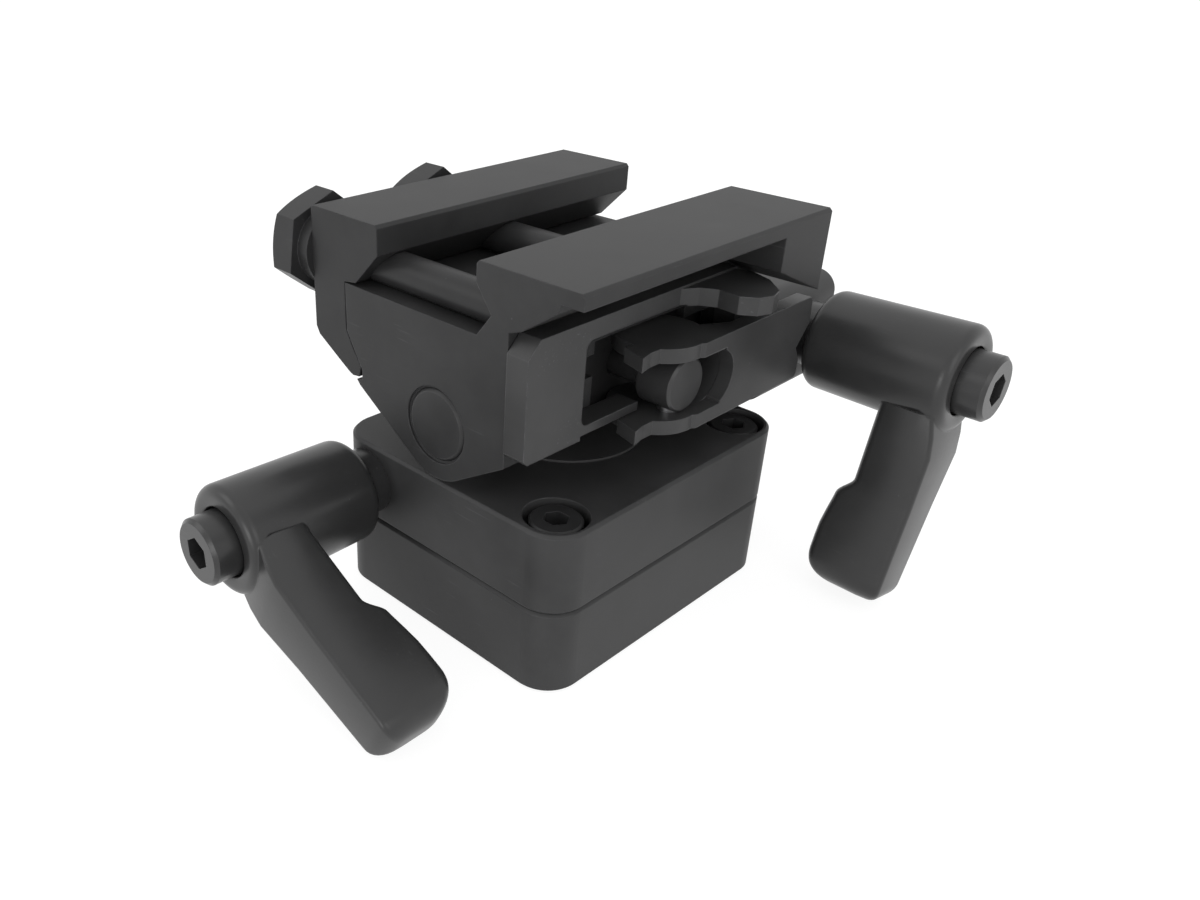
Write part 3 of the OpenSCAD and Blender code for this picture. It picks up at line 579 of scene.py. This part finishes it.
@dataclass
class RailClamp(SubAssembly):
    """The clamp body, its moving bar, the cross bolts with their nuts, the draw rod and its spring."""

    title: str = "rail clamp"
    nut_edge: float = 0.18

    def build(self, frame: dict) -> None:
        """Gather the clamp's body and all that moves with its bar."""
        self.gather(frame, "clamp_body", "clamp_bar", "cross_bolts", "hex_nuts", "draw_rod", "bar_spring")

    def dress(self, maker: MaterialMaker) -> None:
        """Anodise the body and the bar and blacken the bolts, nuts and rod."""
        self.coat(maker, ANODISED_CLAMP, self.edge_break, "clamp_body")
        self.coat(maker, ANODISED_BAR, self.edge_break, "clamp_bar")
        self.coat(maker, OXIDE_TURNED, self.nut_edge, "cross_bolts", "hex_nuts")
        self.coat(maker, OXIDE_ROD, self.nut_edge, "draw_rod")
        self.coat(maker, SPRING_WIRE, self.fine_edge, "bar_spring")


@dataclass
class QuickRelease(SubAssembly):
    """The cam lever on its pivot and the sliding latch plate with its spring."""

    title: str = "quick release"
    edge_break: float = 0.22
    wall_centre: tuple[float, float] = (4.25, 37.0)
    wall_inner_r: float = 3.96
    wall_outer_r: float = 5.2
    wall_from: float = 15.7
    wall_to: float = 19.1
    wall_steps: int = 28

    def build(self, frame: dict) -> None:
        """Gather the lever, the pivot, the latch plate and its spring, and build the wall inside the fork."""
        self.gather(frame, "qd_lever", "lever_pivot_pin", "latch_plate", "latch_spring")
        shape = bmesh.new()
        across, up = self.wall_centre
        corners = [
            (place, across, up - out)
            for place, out in (
                (self.wall_from, self.wall_inner_r), (self.wall_to, self.wall_inner_r),
                (self.wall_to, self.wall_outer_r), (self.wall_from, self.wall_outer_r),
            )
        ]
        start = MeshTools.outline(shape, corners)
        bmesh.ops.spin(
            shape, geom=[start], cent=Vector((0.0, across, up)) * MM, axis=(1, 0, 0), dvec=(0, 0, 0), angle=math.pi,
            steps=self.wall_steps
        )
        piece = MeshTools.finish(shape, "fork_wall")
        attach(piece, "qd_lever")
        self.pieces[piece.name] = piece
        LOG.info("%s: %s built with %d vertices", self.title, piece.name, len(piece.data.vertices))

    def dress(self, maker: MaterialMaker) -> None:
        """Blacken the lever and the plate; the pivot and the spring stay bright."""
        self.coat(maker, OXIDE_LEVER, self.edge_break, "qd_lever", "fork_wall")
        self.coat(maker, OXIDE_LATCH, self.edge_break, "latch_plate")
        self.coat(maker, TURNED_STEEL, self.fine_edge, "lever_pivot_pin")
        self.coat(maker, SPRING_WIRE, self.fine_edge, "latch_spring")


class MeshTools:
    """Steps that the built pieces share."""

    WELD = 0.002
    SHARP = 35.0

    @staticmethod
    def outline(shape: bmesh.types.BMesh, points: list[tuple[float, float, float]]) -> bmesh.types.BMFace:
        """Start a shape from a flat outline.

        Args:
            shape: An empty mesh.
            points: The outline's corners, in millimetres.

        Returns:
            The outline as one face.
        """
        return shape.faces.new([shape.verts.new(Vector(point) * MM) for point in points])

    @staticmethod
    def round_corner(shape: bmesh.types.BMesh, place: Vector, radius: float, steps: int) -> None:
        """Round the corner of a flat outline nearest to a place.

        Args:
            shape: The mesh.
            place: Where the corner is, in millimetres.
            radius: How far back the rounding starts, in millimetres.
            steps: How many segments it has.
        """
        corner = min(shape.verts, key=lambda vert: (vert.co - place * MM).length)
        bmesh.ops.bevel(
            shape, geom=[corner], offset=radius * MM, offset_type="OFFSET", segments=steps, profile=0.5,
            affect="VERTICES", material=-1
        )

    @staticmethod
    def take(shape: bmesh.types.BMesh, other: bmesh.types.BMesh) -> None:
        """Move one mesh into another.

        Args:
            shape: The mesh that receives it.
            other: The mesh that is moved, freed here.
        """
        holder = bpy.data.meshes.new("holder")
        other.to_mesh(holder)
        other.free()
        shape.from_mesh(holder)
        bpy.data.meshes.remove(holder)

    @staticmethod
    def ease(share: float) -> float:
        """Return a share between 0 and 1 with soft ends."""
        share = min(max(share, 0.0), 1.0)
        return share * share * (3.0 - 2.0 * share)

    @classmethod
    def finish(cls, shape: bmesh.types.BMesh, name: str) -> bpy.types.Object:
        """Turn a shape into an object with smooth faces and sharp edges.

        Args:
            shape: The finished mesh, freed here.
            name: The object's name.

        Returns:
            The new object.
        """
        bmesh.ops.remove_doubles(shape, verts=shape.verts, dist=cls.WELD * MM)
        bmesh.ops.recalc_face_normals(shape, faces=shape.faces)
        for face in shape.faces:
            face.smooth = True
        for edge in shape.edges:
            edge.smooth = edge.calc_face_angle(0.0) < math.radians(cls.SHARP)
        mesh = bpy.data.meshes.new(name)
        shape.to_mesh(mesh)
        shape.free()
        piece = bpy.data.objects.new(name, mesh)
        bpy.context.scene.collection.objects.link(piece)
        return piece


@dataclass
class ClampingLever(SubAssembly):
    """A ratchet lever: a moulded handle on a toothed insert, with its screw, spring and lock shoe.

    The handle is built here: a spun hub with its bores, and an arm lofted through rounded sections that keep to the
    arm's outline. Reaches run along the arm from the hub's axis, and heights along the axis from the hub's end.
    """

    title: str = "clamping lever"
    prefix: str = "pan"
    hub_end: tuple[float, float, float] = (0.0, 0.0, 0.0)
    points_out: tuple[float, float, float] = (0.0, -1.0, 0.0)
    arm_points: tuple[float, float, float] = (1.0, 0.0, 0.0)
    hub_outer_r: float = 7.7
    hub_inner_r: float = 7.3
    hub_rise: float = 1.0
    hub_length: float = 20.0
    hub_rounding: float = 1.5
    rounding_steps: int = 7
    hub_steps: int = 96
    head_bore_chamfer: float = 0.35
    collar_bore_chamfer: float = 0.3
    collar_bore_r: float = 4.95
    collar_bore_end: float = -12.7
    tooth_bore_r: float = 4.4
    web: tuple[float, float] = (-9.5, -7.5)
    web_hole_r: float = 2.6
    head_bore_r: float = 4.85
    arm_start: float = 4.95
    arm_start_half: float = 5.8
    waist: float = 18.6
    waist_half: float = 4.4
    tip: float = 34.2
    tip_half: float = 3.7
    face_rise: float = 1.6
    face_fall: float = 0.05
    neck_depth: float = 8.9
    grip_depth: float = 11.7
    step_length: float = 3.0
    shoulder_depth: float = 0.9
    shoulder_length: float = 8.0
    tip_outer_r: float = 2.4
    tip_inner_r: float = 4.6
    tip_side_r: float = 3.0
    outer_edge_r: float = 0.75
    inner_edge_r: float = 1.3
    parting_depth: float = 3.2
    crown: float = 0.4
    root_drop: float = 1.4
    root_length: float = 5.0
    corner_steps: int = 5
    root_sections: int = 4
    step_lead: float = 2.0
    step_spacing: float = 0.4
    step_sections: int = 11
    tip_turn: float = 7.5
    tip_sections: int = 12

    def build(self, frame: dict) -> None:
        """Gather the insert, screw, spring and shoe, and build the moulded handle."""
        prefix = self.prefix
        self.gather(
            frame, f"{prefix}_insert", f"{prefix}_lever_screw", f"{prefix}_lever_spring", f"{prefix}_lock_shoe"
        )
        shape = bmesh.new()
        self._hub(shape)
        self._arm(shape)
        out, along = Vector(self.points_out), Vector(self.arm_points)
        turn = Matrix((along, out.cross(along), out)).transposed().to_4x4()
        bmesh.ops.transform(shape, matrix=Matrix.Translation(Vector(self.hub_end) * MM) @ turn, verts=shape.verts)
        piece = MeshTools.finish(shape, f"{prefix}_grip")
        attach(piece, f"{prefix}_handle")
        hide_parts(f"{prefix}_handle")
        self.pieces[piece.name] = piece
        LOG.info("%s: %s built with %d vertices", self.title, piece.name, len(piece.data.vertices))

    def dress(self, maker: MaterialMaker) -> None:
        """Mould the handle in black, blacken the insert and screw; the spring and the shoe stay bright."""
        prefix = self.prefix
        self.coat(maker, MOULDED_HANDLE, self.edge_break, f"{prefix}_grip")
        self.coat(maker, OXIDE_ROD, self.fine_edge, f"{prefix}_insert", f"{prefix}_lever_screw")
        self.coat(maker, SPRING_WIRE, self.fine_edge, f"{prefix}_lever_spring")
        self.coat(maker, TURNED_BRASS, self.fine_edge, f"{prefix}_lock_shoe")

    def _hub(self, shape: bmesh.types.BMesh) -> None:
        """Spin the hub with its bores, its web and its rounded ends.

        Args:
            shape: The mesh that the hub goes in.
        """
        low, high = -self.hub_length, self.hub_rise
        web_low, web_high = self.web
        profile = bmesh.new()
        points = [
            (self.collar_bore_r, low), (self.hub_inner_r, low), (self.hub_outer_r, high), (self.head_bore_r, high),
            (self.head_bore_r, web_high), (self.web_hole_r, web_high), (self.web_hole_r, web_low),
            (self.tooth_bore_r, web_low), (self.tooth_bore_r, self.collar_bore_end),
            (self.collar_bore_r, self.collar_bore_end),
        ]
        MeshTools.outline(profile, [(out, 0.0, up) for out, up in points])
        MeshTools.round_corner(profile, Vector((self.hub_inner_r, 0, low)), self.hub_rounding, self.rounding_steps)
        MeshTools.round_corner(profile, Vector((self.hub_outer_r, 0, high)), self.hub_rounding, self.rounding_steps)
        MeshTools.round_corner(profile, Vector((self.head_bore_r, 0, high)), self.head_bore_chamfer, 3)
        MeshTools.round_corner(profile, Vector((self.collar_bore_r, 0, low)), self.collar_bore_chamfer, 2)
        bmesh.ops.delete(profile, geom=profile.faces[:], context="FACES_ONLY")
        bmesh.ops.spin(
            profile, geom=profile.verts[:] + profile.edges[:], cent=(0, 0, 0), axis=(0, 0, 1), dvec=(0, 0, 0),
            angle=math.tau, steps=self.hub_steps, use_merge=True, use_duplicate=False
        )
        MeshTools.take(shape, profile)

    def _outer(self, reach: float) -> float:
        """Return the height of the arm's outer face at a reach, lower where it leaves the hub."""
        root = self.root_drop * (1.0 - MeshTools.ease((reach - self.arm_start) / self.root_length))
        return self.face_rise - self.face_fall * reach - root - self._end_drop(reach, self.tip_outer_r)

    def _inner(self, reach: float) -> float:
        """Return the height of the arm's inner face, which steps down to the grip with a soft shoulder."""
        step = MeshTools.ease((reach - self.waist + self.step_length / 2) / self.step_length)
        shoulder = MeshTools.ease((reach - self.waist) / self.shoulder_length)
        drop = self.grip_depth - self.neck_depth - self.shoulder_depth
        depth = self.neck_depth + drop * step + self.shoulder_depth * shoulder
        return self.face_rise - self.face_fall * reach - depth + self._end_drop(reach, self.tip_inner_r)

    def _half(self, reach: float) -> float:
        """Return half the arm's width at a reach."""
        if reach < self.waist:
            share = (reach - self.arm_start) / (self.waist - self.arm_start)
            half = self.arm_start_half + (self.waist_half - self.arm_start_half) * share
        else:
            share = (reach - self.waist) / (self.tip - self.waist)
            half = self.waist_half + (self.tip_half - self.waist_half) * share
        return half - self._end_drop(reach, self.tip_side_r)

    def _end_drop(self, reach: float, radius: float) -> float:
        """Return how far a side has curved in near the tip.

        Args:
            reach: Where along the arm.
            radius: The side's rounding into the end.

        Returns:
            The distance from the straight side.
        """
        inside = max(0.0, radius - (self.tip - reach))
        return radius - math.sqrt(max(0.0, radius * radius - inside * inside))

    def _section(self, reach: float) -> list[Vector]:
        """Return the arm's rounded section at a reach, as places in metres.

        Args:
            reach: Where along the arm.

        Returns:
            The section's points in order round the arm.
        """
        half, high, low = self._half(reach), self._outer(reach), self._inner(reach)
        points = []
        corners = (
            (1, high, self.outer_edge_r, 0.0), (-1, high, self.outer_edge_r, 0.25),
            (-1, low, self.inner_edge_r, 0.5), (1, low, self.inner_edge_r, 0.75),
        )
        for side, level, radius, turn in corners:
            radius = min(radius, 0.9 * half)
            centre_y = side * (half - radius)
            centre_up = level - radius if level == high else level + radius
            for step in range(self.corner_steps + 1):
                angle = (turn + 0.25 * step / self.corner_steps) * math.tau
                points.append((centre_y + radius * math.cos(angle), centre_up + radius * math.sin(angle)))
            if turn in (0.25, 0.75):
                parting = high - self.parting_depth * (high - low) / self.grip_depth
                points.append((side * (half + self.crown * half / self.waist_half), parting))
        return [Vector((reach, across, up)) * MM for across, up in points]

    def _stations(self) -> list[float]:
        """Return the reaches at which the arm has sections, closer together at the step and round the tip."""
        count = self.root_sections
        lead = self.waist - self.step_lead
        plain = [self.arm_start + (lead - self.arm_start) * share / count for share in range(count + 1)]
        step = [lead + self.step_spacing * place for place in range(1, self.step_sections + 1)]
        start = self.tip - self.tip_inner_r
        grip = [step[-1] + (start - step[-1]) * share / count for share in range(1, count + 1)]
        turns = [math.radians(self.tip_turn * place) for place in range(1, self.tip_sections + 1)]
        tip = [start + self.tip_inner_r * math.sin(turn) for turn in turns]
        return plain + step + grip + tip

    def _arm(self, shape: bmesh.types.BMesh) -> None:
        """Loft the arm through its sections and close both ends.

        Args:
            shape: The mesh that the arm goes in.
        """
        arm = bmesh.new()
        rings = []
        for reach in self._stations():
            places = self._section(reach)
            made = bmesh.ops.create_circle(arm, segments=len(places), radius=MM)
            for vert, place in zip(made["verts"], places):
                vert.co = place
            rings.append(list({edge for vert in made["verts"] for edge in vert.link_edges}))
        for first, second in zip(rings, rings[1:]):
            bmesh.ops.bridge_loops(arm, edges=first + second)
        for ring in (rings[0], rings[-1]):
            bmesh.ops.holes_fill(arm, edges=ring, sides=0)
        MeshTools.take(shape, arm)


@dataclass
class Lamp:
    """One soft area lamp."""

    name: str
    place: tuple[float, float, float]
    width: float
    height: float
    watts: float


@dataclass
class Studio:
    """The pale floor, the soft light and the camera."""

    eye: tuple[float, float, float] = (86.769, -105.538, 92.600)
    right: tuple[float, float, float] = (0.67404, 0.73869, 0.00259)
    down: tuple[float, float, float] = (0.34717, -0.31369, -0.88378)
    forward: tuple[float, float, float] = (-0.65203, 0.59661, -0.46789)
    focal_pixels: float = 1046.97
    centre_pixels: tuple[float, float] = (429.08, 442.40)
    image: tuple[int, int] = (1200, 900)
    sensor: float = 36.0
    floor_gap: float = 0.1
    floor_side: float = 3.0
    ambient: float = 0.9
    floor_tone: float = 0.8
    floor_seen_tone: float = 0.22
    floor_glow: float = 0.88
    nearest: float = 1.0
    farthest: float = 20.0
    lamps: list[Lamp] = field(
        default_factory=lambda: [
            Lamp("overhead_lamp", (-0.05, 0.05, 0.62), 0.7, 0.7, 0.3),
            Lamp("left_lamp", (-0.35, -0.5, 0.42), 0.35, 0.4, 0.6),
            Lamp("right_lamp", (0.62, -0.08, 0.32), 0.35, 0.35, 0.45),
            Lamp("front_lamp", (0.22, -0.72, 0.14), 0.35, 0.3, 1.0),
        ]
    )

    def camera(self) -> None:
        """Put the camera where the photograph was taken from."""
        data = bpy.data.cameras.new("camera")
        data.sensor_width = self.sensor
        data.lens = self.focal_pixels / self.image[0] * self.sensor
        data.shift_x = (self.image[0] / 2 - self.centre_pixels[0]) / self.image[0]
        data.shift_y = (self.centre_pixels[1] - self.image[1] / 2) / self.image[0]
        data.clip_start = self.nearest * MM
        data.clip_end = self.farthest
        turn = Matrix((self.right, -Vector(self.down), -Vector(self.forward))).transposed()
        camera = bpy.data.objects.new("camera", data)
        camera.matrix_world = Matrix.Translation(Vector(self.eye) * MM) @ turn.to_4x4()
        bpy.context.scene.collection.objects.link(camera)
        bpy.context.scene.camera = camera
        LOG.info("camera: %.2f mm lens", data.lens)

    def light(self) -> None:
        """Light the object softly from above and both sides."""
        for lamp in self.lamps:
            data = bpy.data.lights.new(lamp.name, "AREA")
            data.shape = "RECTANGLE"
            data.size = lamp.width
            data.size_y = lamp.height
            data.energy = lamp.watts
            piece = bpy.data.objects.new(lamp.name, data)
            piece.location = lamp.place
            piece.rotation_euler = (Vector(lamp.place) * -1).to_track_quat("-Z", "Y").to_euler()
            bpy.context.scene.collection.objects.link(piece)
            LOG.info("lamp: %s", lamp.name)

    @staticmethod
    def _shown(nodes: Nodes, path: bpy.types.Node) -> bpy.types.NodeSocket:
        """Return 1 for rays that show the background, seen straight, in gloss or through glass.

        Args:
            nodes: The nodes of the floor or the sky.
            path: The Light Path node.

        Returns:
            The mask.
        """
        seen = nodes.maths("MAXIMUM", path.outputs["Is Camera Ray"], path.outputs["Is Transmission Ray"])
        return nodes.maths("MAXIMUM", seen, path.outputs["Is Glossy Ray"])

    def sky(self) -> None:
        """Surround the object with a plain level, white to the camera and in reflections."""
        world = bpy.data.worlds.new("studio")
        world.use_nodes = True
        bpy.context.scene.world = world
        nodes = Nodes(world.node_tree)
        path = nodes.add("LightPath")
        shown = self._shown(nodes, path)
        extra = nodes.maths("MULTIPLY", shown, 1.0 - self.ambient)
        strength = nodes.maths("ADD", extra, self.ambient)
        background = nodes.add("Background", {"Color": (1.0, 1.0, 1.0, 1.0)})
        nodes.join(strength, background.inputs["Strength"])
        output = nodes.add("OutputWorld")
        nodes.join(background.outputs[0], output.inputs["Surface"])

    def floor(self) -> None:
        """Lay a pale floor that keeps the object's shadow."""
        mesh = bpy.data.meshes.new("floor")
        shape = bmesh.new()
        lift = Matrix.Translation((0.0, 0.0, -self.floor_gap * MM))
        bmesh.ops.create_grid(shape, x_segments=1, y_segments=1, size=self.floor_side / 2, matrix=lift)
        shape.to_mesh(mesh)
        shape.free()
        floor = bpy.data.objects.new("floor", mesh)
        bpy.context.scene.collection.objects.link(floor)
        material = bpy.data.materials.new("pale_floor")
        material.use_nodes = True
        nodes = Nodes(material.node_tree)
        path = nodes.add("LightPath")
        lit = nodes.add("BsdfDiffuse", {"Color": (*[self.floor_tone] * 3, 1.0)})
        seen = nodes.add("BsdfDiffuse", {"Color": (*[self.floor_seen_tone] * 3, 1.0)})
        glow = nodes.add("Emission", {"Color": (1.0, 1.0, 1.0, 1.0), "Strength": self.floor_glow})
        both = nodes.add("AddShader")
        nodes.join(seen.outputs[0], both.inputs[0])
        nodes.join(glow.outputs[0], both.inputs[1])
        pick = nodes.add("MixShader")
        nodes.join(self._shown(nodes, path), pick.inputs[0])
        nodes.join(lit.outputs[0], pick.inputs[1])
        nodes.join(both.outputs[0], pick.inputs[2])
        output = nodes.add("OutputMaterial")
        nodes.join(pick.outputs[0], output.inputs["Surface"])
        floor.data.materials.append(material)


def lean(degrees: float) -> tuple[float, float]:
    """Return the sine and cosine of an angle in degrees."""
    return math.sin(math.radians(degrees)), math.cos(math.radians(degrees))


PAN_LEAN, CANT_LEAN = lean(26.0), lean(13.0)


def sub_assemblies() -> list[SubAssembly]:
    """Return the sub-assemblies in the order in which the head is put together."""
    return [
        Base(),
        Turret(),
        RailClamp(),
        QuickRelease(),
        ClampingLever(
            title="pan lever", prefix="pan", hub_end=(-14.4, -48.0, 18.2), points_out=(0.0, -1.0, 0.0),
            arm_points=(PAN_LEAN[1], 0.0, -PAN_LEAN[0]),
        ),
        ClampingLever(
            title="cant lever", prefix="cant", hub_end=(40.3, 34.0, 34.4), points_out=(1.0, 0.0, 0.0),
            arm_points=(0.0, -CANT_LEAN[0], -CANT_LEAN[1]),
        ),
    ]


def main() -> None:
    """Load the frame, build and dress every sub-assembly and set up the studio."""
    logging.basicConfig(level=logging.INFO, format="%(name)s: %(message)s")
    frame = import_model()
    maker = MaterialMaker()
    for sub_assembly in sub_assemblies():
        sub_assembly.build(frame)
        sub_assembly.dress(maker)
    studio = Studio()
    studio.floor()
    studio.sky()
    studio.light()
    studio.camera()
    bpy.context.scene.view_settings.view_transform = "Standard"


if __name__ == "__main__":
    main()
